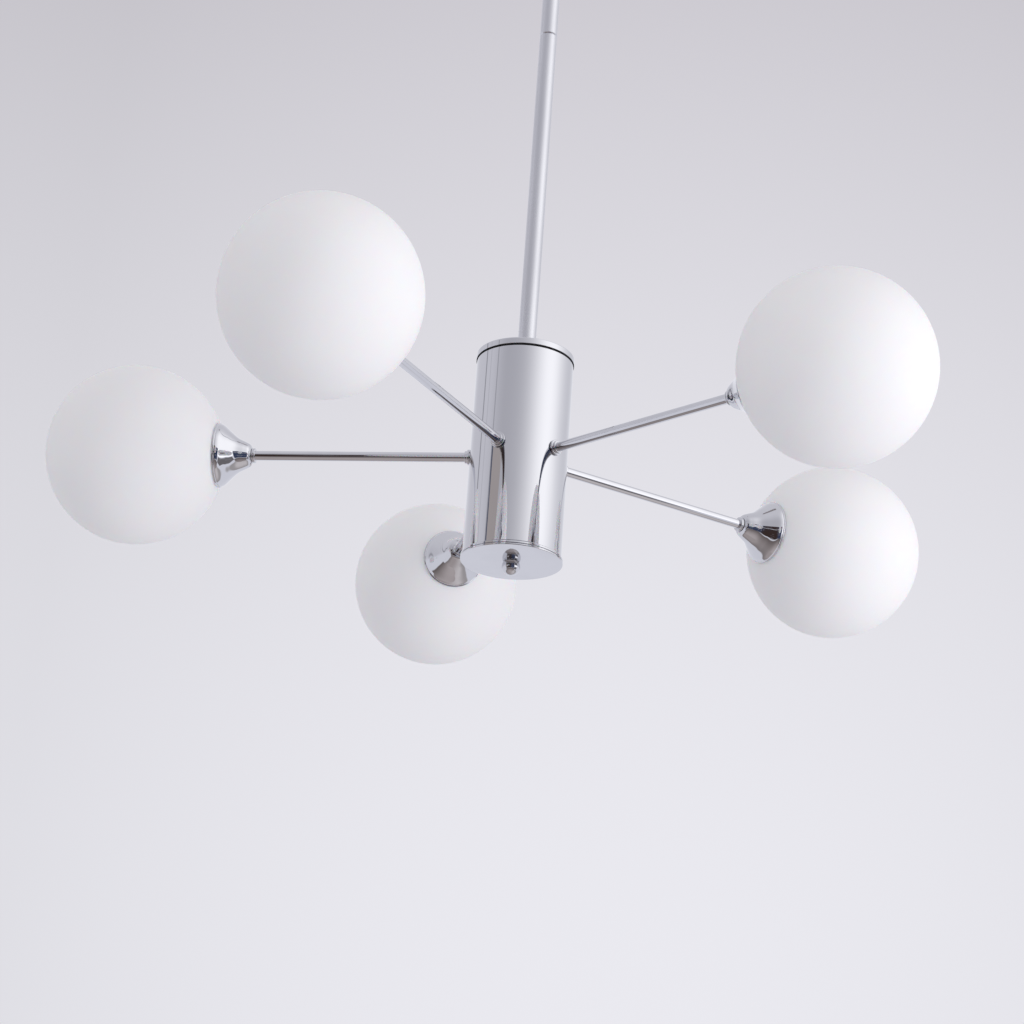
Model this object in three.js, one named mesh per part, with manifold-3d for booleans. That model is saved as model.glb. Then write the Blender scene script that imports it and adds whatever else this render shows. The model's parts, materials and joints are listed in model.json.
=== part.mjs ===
// Five-arm branch chandelier: chrome stem and hub, swivel canopy, opal glass globes.
// Millimetres, +Z up. The origin is the middle of the ceiling bracket's top face.
// Arm 1 points along +Y, and the others follow every 72 degrees, counter-clockwise from above.
import * as THREE from 'three';
import { mergeVertices } from 'three/addons/utils/BufferGeometryUtils.js';
import Module from 'manifold-3d';

const wasm = await Module();
wasm.setup();

// Gaps and small steps
const gap = 0.3;
const threadGap = 0.15;

// Sides of the round pieces
const globeSides = 20;
const cupSides = 14;
const armSides = 10;
const hubSides = 30;
const rodSides = 16;
const innerSides = 10;

// Globes
const globeRadius = 75;
const glassWall = 3;
const neckRadius = 17;
const neckWall = 2.7;
const neckEnd = 81;

// Cups, measured back from the globe centre
const cupRimRadius = 27;
const cupRimAt = Math.sqrt(globeRadius ** 2 - cupRimRadius ** 2) + gap;
const cupLength = 28.8;
const cupWall = 0.9;
const cupEndAt = cupRimAt + cupLength;

// Arms
const armCount = 5;
const armRadius = 4;
const armBore = 3;
const armReach = 282.3;
const armSeatHeight = 2.6;
const armDroop = Math.asin(armSeatHeight / armReach);
const armSway = [2.4, -0.3, -2.2, -0.8, 1.5];
const armInnerEnd = -7.5;
const armOuterEnd = armReach - cupEndAt + 7.5;
const stopLength = 2.6;

// Lampholders and bulbs, along the arm from the hub wall
const holderFront = 207;
const bulbRadius = 8;
const bulbLength = 51;

// Hub body, heights measured from the plane of the globe centres
const bodyRadius = 40.25;
const bodyWall = 1.25;
const bodyTop = 86.7;
const bodyBottom = -84.3;
const gasketHeight = 1.5;
const capRadius = 40.8;
const capTop = 93.6;
const plateRadius = 41.6;
const plateBottom = -88.5;
const capPlate = 2.4;
const spigotWall = 1.2;
const ballNutRadius = 7.5;
const ballNutCentre = -92.3;
const studRadius = 3;
const hickeyTop = capTop - 7.2;
const hickeyHeight = 36;

// Stem
const rodRadius = 7.5;
const rodBore = 5.15;
const nippleRadius = 5;
const nippleBore = 3.3;
const rodLength = 310;
const rodChamfer = 0.5;

// Canopy and swivel, heights measured from the ceiling
const canopyRadius = 60;
const canopyDepth = 32;
const canopyWall = 1;
const canopyCorner = 6;
const studSpread = 40;
const pivotHeight = -57;
const knuckleRadius = 9;
const tongueThickness = 5.6;
const forkSlot = 6.2;
const rodTop = -73;

const hubHeight = rodTop - 2 * rodLength - capTop;

// Materials
const finish = (color, roughness, metalness) => () =>
  new THREE.MeshStandardMaterial({ color, roughness, metalness });
const chrome = finish(0xd5d8de, 0.07, 1);
const satinChrome = finish(0xc2c6cb, 0.28, 1);
const zincSteel = finish(0x9d9f9c, 0.4, 1);
const brass = finish(0xb08d4a, 0.35, 1);
const opalGlass = finish(0xf5f4f6, 0.5, 0);
const frostedBulb = finish(0xf3f1ea, 0.4, 0);
const ceramic = finish(0xece9e1, 0.45, 0);
const blackRubber = finish(0x161617, 0.7, 0);
const clearSilicone = finish(0xdfe1e0, 0.5, 0);
const whitePlastic = finish(0xe9e9e6, 0.5, 0);
const wireSleeve = finish(0xdcdcd8, 0.45, 0);

// Removes normals and uvs, welds the corners and drops triangles that have no area.
function weld(geometry) {
  const bare = geometry.clone();
  bare.deleteAttribute('normal');
  bare.deleteAttribute('uv');
  const welded = mergeVertices(bare, 1e-4);
  const kept = [];
  const index = welded.index.array;
  for (let i = 0; i < index.length; i += 3) {
    const [a, b, c] = [index[i], index[i + 1], index[i + 2]];
    if (a !== b && b !== c && c !== a) kept.push(a, b, c);
  }
  welded.setIndex(kept);
  return welded;
}

function toSolid(geometry) {
  const welded = weld(geometry);
  return new wasm.Manifold(new wasm.Mesh({
    numProp: 3,
    vertProperties: Float32Array.from(welded.attributes.position.array),
    triVerts: Uint32Array.from(welded.index.array),
  }));
}

function toGeometry(solid) {
  const mesh = solid.getMesh();
  const geometry = new THREE.BufferGeometry();
  geometry.setAttribute('position', new THREE.BufferAttribute(mesh.vertProperties, 3));
  geometry.setIndex(new THREE.BufferAttribute(mesh.triVerts, 1));
  return geometry;
}

const cut = (body, ...tools) =>
  toGeometry(tools.reduce((left, tool) => left.subtract(toSolid(tool)), toSolid(body)));
const join = (...pieces) =>
  toGeometry(pieces.slice(1).reduce((sum, piece) => sum.add(toSolid(piece)), toSolid(pieces[0])));

// Revolves a profile of [radius, height] points about the Z axis.
function turned(profile, sides) {
  const area = profile.reduce((sum, [r, z], i) => {
    const [nextR, nextZ] = profile[(i + 1) % profile.length];
    return sum + r * nextZ - nextR * z;
  }, 0);
  const ordered = area > 0 ? profile : [...profile].reverse();
  const points = ordered.map(([r, z]) => new THREE.Vector2(r, z));
  const closed = ordered[0][0] > 0 || ordered[ordered.length - 1][0] > 0;
  if (closed) points.push(points[0].clone());
  return weld(new THREE.LatheGeometry(points, sides).rotateX(Math.PI / 2));
}

// The same about the X axis, for the pieces of an arm.
const turnedAlongArm = (profile, sides) => turned(profile, sides).rotateY(Math.PI / 2);

const ringProfile = (inner, outer, low, high) =>
  [[inner, low], [outer, low], [outer, high], [inner, high]];

// Points on an arc of [radius, height], from one angle to another in degrees.
function arc(centreR, centreZ, radius, from, to, steps) {
  return Array.from({ length: steps + 1 }, (_, i) => {
    const angle = THREE.MathUtils.degToRad(from + (to - from) * i / steps);
    return [centreR + radius * Math.cos(angle), centreZ + radius * Math.sin(angle)];
  });
}

// Upright prism from a shape drawn in plan.
const prism = (shape, low, high, curveSegments = 6) =>
  new THREE.ExtrudeGeometry(shape, { depth: high - low, bevelEnabled: false, curveSegments })
    .translate(0, 0, low);

// Plate from a shape drawn in front view (X across, Y up), centred on Y = 0.
const frontPlate = (shape, thickness, curveSegments = 7) =>
  prism(shape, -thickness / 2, thickness / 2, curveSegments).rotateX(Math.PI / 2);

const rod = (radius, low, high, sides = 16) =>
  new THREE.CylinderGeometry(radius, radius, high - low, sides)
    .rotateX(Math.PI / 2).translate(0, 0, (low + high) / 2);

const block = (x, y, low, high) =>
  new THREE.BoxGeometry(x, y, high - low).translate(0, 0, (low + high) / 2);

// Regular polygon drawn by its corners.
const polygon = (radius, sides) =>
  new THREE.Shape(Array.from({ length: sides }, (_, i) => {
    const angle = i * 2 * Math.PI / sides;
    return new THREE.Vector2(radius * Math.cos(angle), radius * Math.sin(angle));
  }));

function hexNut(acrossFlats, bore, low, high, boreSides = 8) {
  const shape = polygon(acrossFlats / Math.sqrt(3), 6);
  const hole = new THREE.Path();
  hole.absarc(0, 0, bore, 0, 2 * Math.PI, true);
  shape.holes.push(hole);
  return prism(shape, low, high, boreSides);
}

// Round wire along a curve: a few straight-sided steps of a regular polygon.
function wire(points, radius, steps, sides = 6) {
  const extrudePath = new THREE.CatmullRomCurve3(points);
  return new THREE.ExtrudeGeometry(polygon(radius, sides), { steps, extrudePath, bevelEnabled: false });
}

// Groups: the ceiling is the root, the hub hangs under it, and each arm has a turned group.
const chandelier = new THREE.Group();
const hub = new THREE.Group();
hub.position.z = hubHeight;
chandelier.add(hub);

function place(parent, name, geometry, material) {
  const mesh = new THREE.Mesh(weld(geometry), material());
  mesh.name = name;
  parent.add(mesh);
}

// Arm groups: local +X runs from the hub wall to the globe centre, swayed and drooping a little.
const arms = armSway.map((sway, i) => {
  const seat = new THREE.Group();
  seat.rotation.z = Math.PI / 2 + i * 2 * Math.PI / armCount;
  const arm = new THREE.Group();
  arm.position.set(bodyRadius, 0, armSeatHeight);
  arm.rotation.set(0, armDroop, THREE.MathUtils.degToRad(sway), 'ZYX');
  seat.add(arm);
  hub.add(seat);
  return arm;
});
chandelier.updateMatrixWorld(true);
const hubMatrix = new THREE.Matrix4().copy(hub.matrixWorld).invert();
const inHub = (arm) => new THREE.Matrix4().multiplyMatrices(hubMatrix, arm.matrixWorld);

// Ceiling bracket: a strip stepped down at its ends, slotted for two ceiling screws.
function ceilingBracket() {
  const thickness = 2;
  const step = 4.5;
  const flat = 30;
  const ramp = 34;
  const end = 47;
  const outline = new THREE.Shape();
  outline.moveTo(-flat, 0);
  outline.lineTo(flat, 0);
  outline.lineTo(ramp, -step);
  outline.lineTo(end, -step);
  outline.lineTo(end, -step - thickness);
  outline.lineTo(ramp - 1, -step - thickness);
  outline.lineTo(flat - 1, -thickness);
  outline.lineTo(1 - flat, -thickness);
  outline.lineTo(1 - ramp, -step - thickness);
  outline.lineTo(-end, -step - thickness);
  outline.lineTo(-end, -step);
  outline.lineTo(-ramp, -step);
  const slot = new THREE.Shape();
  slot.absarc(-4, 0, 2.4, Math.PI / 2, 1.5 * Math.PI, false);
  slot.absarc(4, 0, 2.4, -Math.PI / 2, Math.PI / 2, false);
  const slotTool = prism(slot, -thickness - 1, 1, 4);
  const screwHole = rod(2.1, -step - thickness - 1, 1 - step, 8);
  return cut(frontPlate(outline, 20),
    slotTool.clone().translate(21, 0, 0), slotTool.clone().translate(-21, 0, 0),
    screwHole.clone().translate(studSpread, 0, 0), screwHole.clone().translate(-studSpread, 0, 0));
}

// Canopy screw: a pan head above the bracket's end, its shank down through the canopy face.
function canopyScrew(side) {
  const headLow = -4.5;
  return turned([
    [0, headLow + 2.6], [2, headLow + 2.5], [3.4, headLow + 1.5], [3.6, headLow],
    [1.95, headLow], [1.95, -canopyDepth - 7], [0, -canopyDepth - 7],
  ], 10).translate(side * studSpread, 0, 0);
}

// Ball nut cut flat where it seats, with a blind threaded hole from its flat side.
function ballNut(radius, seatAbove, hole, holeDepth, sides) {
  const flat = Math.sqrt(radius ** 2 - seatAbove ** 2);
  const from = THREE.MathUtils.radToDeg(Math.atan2(seatAbove, flat));
  return turned([
    [0, seatAbove - holeDepth], [hole, seatAbove - holeDepth], [hole, seatAbove],
    ...arc(0, 0, radius, from, -90, sides / 2 - 2).slice(0, -1), [0, -radius],
  ], sides);
}

const canopyBallNut = (side) =>
  ballNut(5.5, 2.8, 2.1, 7.6, 12).translate(side * studSpread, 0, -canopyDepth - 2.8);

// Canopy: a spun dish with a rolled corner, open towards the ceiling.
function canopy() {
  const inner = canopyRadius - canopyWall;
  const innerCorner = canopyCorner - canopyWall;
  const bend = canopyCorner - canopyDepth;
  const dish = turned([
    [nippleRadius + gap, -canopyDepth],
    ...arc(canopyRadius - canopyCorner, bend, canopyCorner, -90, 0, 3),
    [canopyRadius, -0.6], [inner, -0.6],
    ...arc(canopyRadius - canopyCorner, bend, innerCorner, 0, -90, 2),
    [nippleRadius + gap, canopyWall - canopyDepth],
  ], hubSides);
  const hole = rod(2.3, -canopyDepth - 1, 2 - canopyDepth, 8);
  return cut(dish, hole.clone().translate(studSpread, 0, 0), hole.clone().translate(-studSpread, 0, 0));
}

// Three-pole terminal block under the bracket, with its screw wells and the wire that leaves it.
function terminalBlock() {
  const top = -2;
  const body = block(27, 13, top - 11, top);
  const tower = block(27, 7, top - 14, top - 10.5);
  const well = rod(1.7, top - 15, top - 8, 8);
  return cut(join(body, tower, canopyWire()),
    well.clone().translate(-9, 0, 0), well, well.clone().translate(9, 0, 0));
}

// Supply wire inside the canopy, from the terminal block into the swivel's bore.
function canopyWire() {
  return wire([
    new THREE.Vector3(9, 5.5, -7),
    new THREE.Vector3(9, 12, -8),
    new THREE.Vector3(7, 15, -14),
    new THREE.Vector3(3, 11, -19.5),
    new THREE.Vector3(0.3, 2.5, -20.5),
    new THREE.Vector3(0, 0, -25),
    new THREE.Vector3(0, 0, -36),
  ], 1.7, 9);
}

// Swivel: hollow nipple clamped in the canopy, a fork that turns on it, and a tilting tongue.
function swivelNipple() {
  return turned(ringProfile(nippleBore, nippleRadius, -canopyDepth - 10, -canopyDepth + 9), innerSides);
}

function swivelNut() {
  const washerTop = canopyWall - canopyDepth + 1.2;
  const washer = turned(ringProfile(nippleRadius + gap, 9.5, canopyWall - canopyDepth, washerTop), innerSides);
  const nut = hexNut(15, nippleRadius + threadGap, washerTop - 0.2, washerTop + 4.5);
  return join(washer, nut);
}

// Outline of an upright ear: straight sides with a round end about the pivot.
function earOutline(radius, pivot, far) {
  const outline = new THREE.Shape();
  const start = far > pivot ? Math.PI : 0;
  outline.moveTo(far > pivot ? radius : -radius, far);
  outline.lineTo(far > pivot ? -radius : radius, far);
  outline.absarc(0, pivot, radius, start, start + Math.PI, false);
  return outline;
}

function swivelFork() {
  const top = -canopyDepth;
  const waist = pivotHeight + knuckleRadius + 4;
  const barrel = turned([
    [nippleRadius + threadGap, top], [knuckleRadius + 1.5, top], [knuckleRadius + 1.5, top - 2],
    [knuckleRadius + 1, top - 3], [knuckleRadius + 1, waist],
    [0, waist], [0, top - 10.5], [nippleRadius + threadGap, top - 10.5],
  ], rodSides);
  const ears = frontPlate(earOutline(knuckleRadius, pivotHeight, waist + 1), 2 * knuckleRadius - 3);
  const slot = block(3 * knuckleRadius, forkSlot, pivotHeight - 2 * knuckleRadius, waist - 0.5);
  const wireWay = rod(nippleBore, waist - 2, top - 9, 8);
  const pinHole = rod(2.6, -20, 20, 10).rotateX(Math.PI / 2).translate(0, 0, pivotHeight);
  return cut(join(barrel, ears), slot, wireWay, pinHole);
}

// Pivot screw: domed head on one ear, a slim nut on the other.
function swivelScrew() {
  const ear = (2 * knuckleRadius - 3) / 2;
  const screw = turned([
    [0, -ear - 3.8], [2.4, -ear - 3.8], [2.4, ear + gap], [4.3, ear + gap],
    [3.9, ear + 1.6], [0, ear + 2.7],
  ], 12).rotateX(Math.PI / 2);
  const nut = hexNut(8, 2.2, -ear - 3.2, -ear - gap, 6).rotateX(Math.PI / 2);
  return join(screw, nut).translate(0, 0, pivotHeight);
}

function swivelTongue() {
  const collarTop = rodTop + 3.5;
  const blade = frontPlate(earOutline(knuckleRadius - 0.5, pivotHeight, collarTop - 1), tongueThickness);
  const pinHole = rod(2.6, -20, 20, 10).rotateX(Math.PI / 2).translate(0, 0, pivotHeight);
  const collar = turned([
    [nippleBore, rodTop - 12], [nippleRadius, rodTop - 12], [nippleRadius, rodTop],
    [knuckleRadius, rodTop], [knuckleRadius, collarTop - 1], [knuckleRadius - 1, collarTop],
    [nippleBore, collarTop],
  ], rodSides);
  return cut(join(blade, collar), pinHole);
}

// Stem: two threaded rods end to end, their ends chamfered to a fine dark seam.
function stemRod(top) {
  const low = top - rodLength;
  return turned([
    [rodBore, low], [rodRadius - rodChamfer, low], [rodRadius, low + rodChamfer],
    [rodRadius, top - rodChamfer], [rodRadius - rodChamfer, top], [rodBore, top],
  ], rodSides);
}

const stemNipple = (low, high) => turned(ringProfile(nippleBore, nippleRadius, low, high), innerSides);

// Hub, in heights from the plane of the globe centres.
function topCap() {
  const under = bodyTop + gasketHeight;
  const inside = capTop - capPlate;
  const spigot = bodyRadius - bodyWall - gap;
  return turned([
    [nippleRadius + threadGap, capTop], [nippleRadius + threadGap, inside],
    [spigot - spigotWall, inside], [spigot - spigotWall, bodyTop - 6],
    [spigot, bodyTop - 6], [spigot, under],
    [capRadius, under], [capRadius, capTop - 1], [capRadius - 1, capTop],
  ], hubSides);
}

const topGasket = () =>
  turned(ringProfile(bodyRadius - bodyWall, capRadius - 0.3, bodyTop, bodyTop + gasketHeight), hubSides);

function bodyTube() {
  const tube = turned(ringProfile(bodyRadius - bodyWall, bodyRadius, bodyBottom, bodyTop), hubSides);
  const holes = arms.map((arm) =>
    rod(armRadius + gap, -4, 4, 10).rotateY(Math.PI / 2).applyMatrix4(inHub(arm)));
  return cut(tube, ...holes);
}

const capNut = () =>
  hexNut(17, nippleRadius + threadGap, capTop - capPlate - 4.5, capTop - capPlate);

// Open hickey: a forged loop that joins the hollow nipple to the solid stud and lets the wires out.
function hickey() {
  const top = hickeyTop;
  const low = hickeyTop - hickeyHeight;
  const halfWidth = 12;
  const corner = 6;
  const outline = new THREE.Shape();
  outline.absarc(halfWidth - corner, top - corner, corner, 0, Math.PI / 2, false);
  outline.absarc(corner - halfWidth, top - corner, corner, Math.PI / 2, Math.PI, false);
  outline.absarc(corner - halfWidth, low + corner, corner, Math.PI, 1.5 * Math.PI, false);
  outline.absarc(halfWidth - corner, low + corner, corner, 1.5 * Math.PI, 2 * Math.PI, false);
  const window = new THREE.Path();
  const reach = 7.5;
  window.absarc(0, top - 8 - reach, reach, 0, Math.PI, false);
  window.absarc(0, low + 8 + reach, reach, Math.PI, 2 * Math.PI, false);
  outline.holes.push(window);
  const loop = frontPlate(outline, 13, 4);
  const nippleHole = rod(nippleRadius + threadGap, top - 12, top + 1, innerSides);
  const studHole = rod(studRadius + threadGap, low - 1, low + 12, innerSides);
  return cut(loop, nippleHole, studHole);
}

const centreStud = () =>
  rod(studRadius, ballNutCentre - 3.5, hickeyTop - hickeyHeight + 7, innerSides);

// Closing plate: a spigot in the tube, a band under it, and a flat face.
function bottomCap() {
  const spigot = bodyRadius - bodyWall - gap;
  const bandTop = bodyBottom - 0.4;
  return turned([
    [studRadius + gap, plateBottom], [plateRadius - 0.5, plateBottom], [plateRadius, plateBottom + 0.4],
    [plateRadius, bandTop], [spigot, bandTop], [spigot, bodyBottom + 4],
    [spigot - spigotWall, bodyBottom + 4], [spigot - spigotWall, plateBottom + capPlate],
    [studRadius + gap, plateBottom + capPlate],
  ], hubSides);
}

const hubBallNut = () =>
  ballNut(ballNutRadius, plateBottom - ballNutCentre, studRadius + threadGap, 8, 18)
    .translate(0, 0, ballNutCentre);

// Arm pieces, along local +X from the hub wall to the globe centre.
// Arm: a tube with a stepped collar brazed on where it meets the hub, and a small stop ring
// brazed on where the cup's end seats.
function armTube() {
  const foot = 6.5;
  const step = 5.3;
  const stop = 6.2;
  const seat = armReach - cupEndAt - gap;
  return turnedAlongArm([
    [armBore, armInnerEnd], [armRadius, armInnerEnd],
    [armRadius, gap], [foot, gap], [foot, 2.1], [step, 2.1], [step, 4.3], [armRadius, 4.3],
    [armRadius, seat - stopLength], [stop, seat - stopLength], [stop, seat], [armRadius, seat],
    [armRadius, armOuterEnd], [armBore, armOuterEnd],
  ], armSides);
}

const armNut = () =>
  hexNut(12, armRadius + threadGap, armInnerEnd + 1.8, armInnerEnd + 4.8, 6).rotateY(Math.PI / 2);

// Cup outline: distance back from the rim and outer radius, from the lip to the small end.
const cupOutline = new THREE.SplineCurve([
  new THREE.Vector2(2.6, 26.3),
  new THREE.Vector2(5.6, 24.6),
  new THREE.Vector2(11, 19.6),
  new THREE.Vector2(17, 14.6),
  new THREE.Vector2(23.5, 11.4),
  new THREE.Vector2(27.2, 9.3),
  new THREE.Vector2(cupLength, 6.6),
]);

// Spun cup: a trumpet bell with a turned lip that meets the glass, and inside it the pressed-in
// ring whose thread takes the globe's neck.
function cup() {
  const rimX = armReach - cupRimAt;
  const stations = [0, 0.2, 0.42, 0.66, 0.88, 1];
  const outer = stations.map((u) => cupOutline.getPointAt(u));
  const inner = stations.slice(1, -1).map((u) => {
    const point = cupOutline.getPointAt(u);
    const tangent = cupOutline.getTangentAt(u);
    return [point.y - tangent.x * cupWall, rimX - point.x - tangent.y * cupWall];
  });
  const hole = armRadius + gap;
  const bore = neckRadius + 0.7;
  const flangeFront = rimX - 3.9;
  const flangeBack = rimX - 4.9;
  return turnedAlongArm([
    [cupRimRadius - 0.6, rimX], [cupRimRadius, rimX - 0.6], [cupRimRadius, rimX - 2],
    ...outer.map((p) => [p.y, rimX - p.x]),
    [hole, rimX - cupLength], [hole, rimX - cupLength + cupWall], [6, rimX - cupLength + cupWall],
    ...inner.reverse().filter(([, x]) => x < flangeBack),
    [24.2, flangeBack], [bore + 1.5, flangeBack], [bore + 1.5, rimX - 9.6], [bore, rimX - 9.6],
    [bore, flangeFront], [24.8, flangeFront], [cupRimRadius - 1.5, rimX],
  ], cupSides);
}

// Ceramic lampholder screwed on the arm's end, with a slot for the bulb's flat base.
function lampholder() {
  const back = armReach - cupEndAt + cupWall + gap;
  const front = holderFront;
  const body = turnedAlongArm([
    [0, front], [9.8, front], [9.8, back + 6.5], [7, back + 4], [5.9, back],
    [armRadius + threadGap, back], [armRadius + threadGap, armOuterEnd + gap],
    [1.9, armOuterEnd + gap], [1.9, front - 9], [0, front - 9],
  ], innerSides);
  const slot = new THREE.BoxGeometry(16, 13.6, 8.6).translate(front, 0, 0);
  return cut(body, slot);
}

// Capsule bulb: a flat base, a round body and a domed end.
function bulb() {
  const back = holderFront + gap;
  const tip = holderFront + bulbLength;
  const dome = arc(0, tip - bulbRadius, bulbRadius, 0, 90, 2).slice(0, -1);
  const capsule = turnedAlongArm([[0, back], [bulbRadius, back], ...dome, [0, tip]], innerSides);
  const base = new THREE.BoxGeometry(8, 12.6, 7.6).translate(holderFront - 3, 0, 0);
  return join(capsule, base);
}

// Silicone ring round the neck, which slides out with the globe but doesn't turn with it.
function neckRing() {
  const shoulder = armReach - Math.sqrt(globeRadius ** 2 - (neckRadius + 0.5) ** 2) - gap;
  return turnedAlongArm(ringProfile(neckRadius + 0.8, 22.5, shoulder - 0.8, shoulder), cupSides);
}

// Opal globe: one wall of glass with an open threaded neck towards the hub.
function globe() {
  const inside = globeRadius - glassWall;
  const neckInner = neckRadius - neckWall;
  const outerStart = THREE.MathUtils.radToDeg(Math.acos(neckRadius / globeRadius));
  const innerStart = THREE.MathUtils.radToDeg(Math.acos(neckInner / inside));
  const outer = arc(0, armReach, globeRadius, -outerStart, 90, 8).slice(0, -1);
  const inner = arc(0, armReach, inside, -innerStart, 90, 6).slice(0, -1);
  return turnedAlongArm([
    [0, armReach + globeRadius], ...outer.reverse(),
    [neckRadius, armReach - neckEnd], [neckInner, armReach - neckEnd],
    ...inner, [0, armReach + inside],
  ], globeSides);
}

// Wiring: a sleeved wire down the stem to a push-in connector, and one from there through each arm.
const connectorAt = new THREE.Vector3(0, 18, 37);

function stemWire() {
  const straightLow = 76;
  const straight = rod(1.8, straightLow, rodTop - hubHeight - 13, 6);
  const bend = wire([
    new THREE.Vector3(0, 0, straightLow + 1),
    new THREE.Vector3(0, 1, straightLow - 6),
    new THREE.Vector3(0, 11, straightLow - 18),
    new THREE.Vector3(0, connectorAt.y, connectorAt.z + 16),
    new THREE.Vector3(0, connectorAt.y, connectorAt.z + 8.3),
  ], 1.8, 6);
  return join(straight, bend);
}

function armWire(arm, i) {
  const outlet = [0, -4.5, -9, 9, 4.5][i];
  const sideways = [0, -13, -20, 20, 13][i];
  const forward = [20, 15, 2, 2, 15][i];
  const matrix = inHub(arm);
  const along = (x) => new THREE.Vector3(x, 0, 0).applyMatrix4(matrix);
  const bend = wire([
    new THREE.Vector3(outlet, connectorAt.y, connectorAt.z - 8.3),
    new THREE.Vector3(outlet * 1.15, connectorAt.y, connectorAt.z - 15),
    new THREE.Vector3(sideways, forward, armSeatHeight + 7),
    along(armInnerEnd - 3),
    along(armInnerEnd + 3),
  ], 1.1, 7, 5);
  const straight = rod(1.1, armInnerEnd + 2, armOuterEnd + 3, 5).rotateY(Math.PI / 2).applyMatrix4(matrix);
  return join(bend, straight);
}

function wiringHarness() {
  const connector = block(25, 12, -9, 9).translate(connectorAt.x, connectorAt.y, connectorAt.z);
  return join(connector, stemWire(), ...arms.map(armWire));
}

place(chandelier, 'ceiling_bracket', ceilingBracket(), zincSteel);
[-1, 1].forEach((side, i) => {
  place(chandelier, `canopy_screw_${i + 1}`, canopyScrew(side), zincSteel);
  place(chandelier, `canopy_ball_nut_${i + 1}`, canopyBallNut(side), chrome);
});
place(chandelier, 'terminal_block', terminalBlock(), whitePlastic);
place(chandelier, 'canopy', canopy(), chrome);
place(chandelier, 'swivel_nipple', swivelNipple(), zincSteel);
place(chandelier, 'swivel_nut', swivelNut(), zincSteel);
place(chandelier, 'swivel_fork', swivelFork(), chrome);
place(chandelier, 'swivel_screw', swivelScrew(), chrome);
place(chandelier, 'swivel_tongue', swivelTongue(), chrome);
place(chandelier, 'rod_upper', stemRod(rodTop), satinChrome);
place(chandelier, 'rod_coupler', stemNipple(rodTop - rodLength - 12, rodTop - rodLength + 12), zincSteel);
place(chandelier, 'rod_lower', stemRod(rodTop - rodLength), satinChrome);
place(hub, 'rod_nipple', stemNipple(capTop - 15, capTop + 14), zincSteel);
place(hub, 'top_cap', topCap(), chrome);
place(hub, 'top_gasket', topGasket(), blackRubber);
place(hub, 'body_tube', bodyTube(), chrome);
place(hub, 'cap_nut', capNut(), zincSteel);
place(hub, 'hickey', hickey(), zincSteel);
place(hub, 'centre_stud', centreStud(), zincSteel);
place(hub, 'bottom_cap', bottomCap(), chrome);
place(hub, 'ball_nut', hubBallNut(), chrome);
place(hub, 'wiring_harness', wiringHarness(), wireSleeve);

arms.forEach((arm, i) => {
  place(arm, `arm_tube_${i + 1}`, armTube(), chrome);
  place(arm, `arm_nut_${i + 1}`, armNut(), brass);
  place(arm, `cup_${i + 1}`, cup(), chrome);
  place(arm, `lampholder_${i + 1}`, lampholder(), ceramic);
  place(arm, `bulb_${i + 1}`, bulb(), frostedBulb);
  place(arm, `neck_ring_${i + 1}`, neckRing(), clearSilicone);
  place(arm, `globe_${i + 1}`, globe(), opalGlass);
});

export default chandelier;
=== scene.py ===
# Five-arm branch chandelier: fine surfaces, finishes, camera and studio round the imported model.
import json
import math
import bmesh
import bpy
import numpy as np
from mathutils import Matrix, Vector

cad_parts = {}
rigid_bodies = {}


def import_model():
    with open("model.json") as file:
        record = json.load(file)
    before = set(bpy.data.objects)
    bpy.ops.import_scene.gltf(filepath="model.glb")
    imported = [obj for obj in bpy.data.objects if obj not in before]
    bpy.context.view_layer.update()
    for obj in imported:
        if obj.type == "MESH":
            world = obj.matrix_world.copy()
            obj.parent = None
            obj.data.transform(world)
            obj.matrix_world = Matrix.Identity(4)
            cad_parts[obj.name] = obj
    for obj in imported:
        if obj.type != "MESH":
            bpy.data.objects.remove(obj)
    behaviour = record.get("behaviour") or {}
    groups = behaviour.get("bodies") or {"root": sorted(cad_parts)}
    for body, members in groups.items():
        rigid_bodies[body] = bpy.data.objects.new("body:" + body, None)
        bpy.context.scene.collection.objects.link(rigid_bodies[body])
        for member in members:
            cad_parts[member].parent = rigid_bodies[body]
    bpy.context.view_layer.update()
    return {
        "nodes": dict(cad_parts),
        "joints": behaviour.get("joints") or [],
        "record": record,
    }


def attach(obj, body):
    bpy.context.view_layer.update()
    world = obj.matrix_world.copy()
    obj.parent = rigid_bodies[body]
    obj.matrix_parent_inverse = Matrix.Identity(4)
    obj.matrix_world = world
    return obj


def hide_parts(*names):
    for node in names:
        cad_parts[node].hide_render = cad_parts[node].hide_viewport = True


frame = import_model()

mm = 0.001
joints = {joint["name"]: joint for joint in frame["joints"]}


# Lines in the plane of a profile, as (radius, height) in millimetres.

def arc(centreR, centreH, radius, start, end, steps):
    # A circle's points from one angle to another, in degrees.
    angle = np.radians(np.linspace(start, end, steps + 1))
    return np.column_stack([centreR + radius * np.cos(angle), centreH + radius * np.sin(angle)])


def bend(start, corner, end, steps=6):
    # A parabola that leaves start and reaches end along the sides of the corner between them.
    t = np.linspace(0, 1, steps + 1)[:, None]
    start, corner, end = (np.array(p, float) for p in (start, corner, end))
    return (1 - t) ** 2 * start + 2 * t * (1 - t) * corner + t ** 2 * end


def rounded(corners, steps=5):
    # Each corner (radius, height, fillet) becomes an arc tangent to both its sides; 0 keeps it sharp.
    line = []
    for i, (r, h, fillet) in enumerate(corners):
        here = np.array([r, h], float)
        if fillet == 0:
            line.append(here[None])
            continue
        before = np.array(corners[i - 1][:2], float) - here
        after = np.array(corners[(i + 1) % len(corners)][:2], float) - here
        before, after = before / np.linalg.norm(before), after / np.linalg.norm(after)
        line.append(bend(here + before * fillet, here, here + after * fillet, steps))
    return np.concatenate(line)


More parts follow.
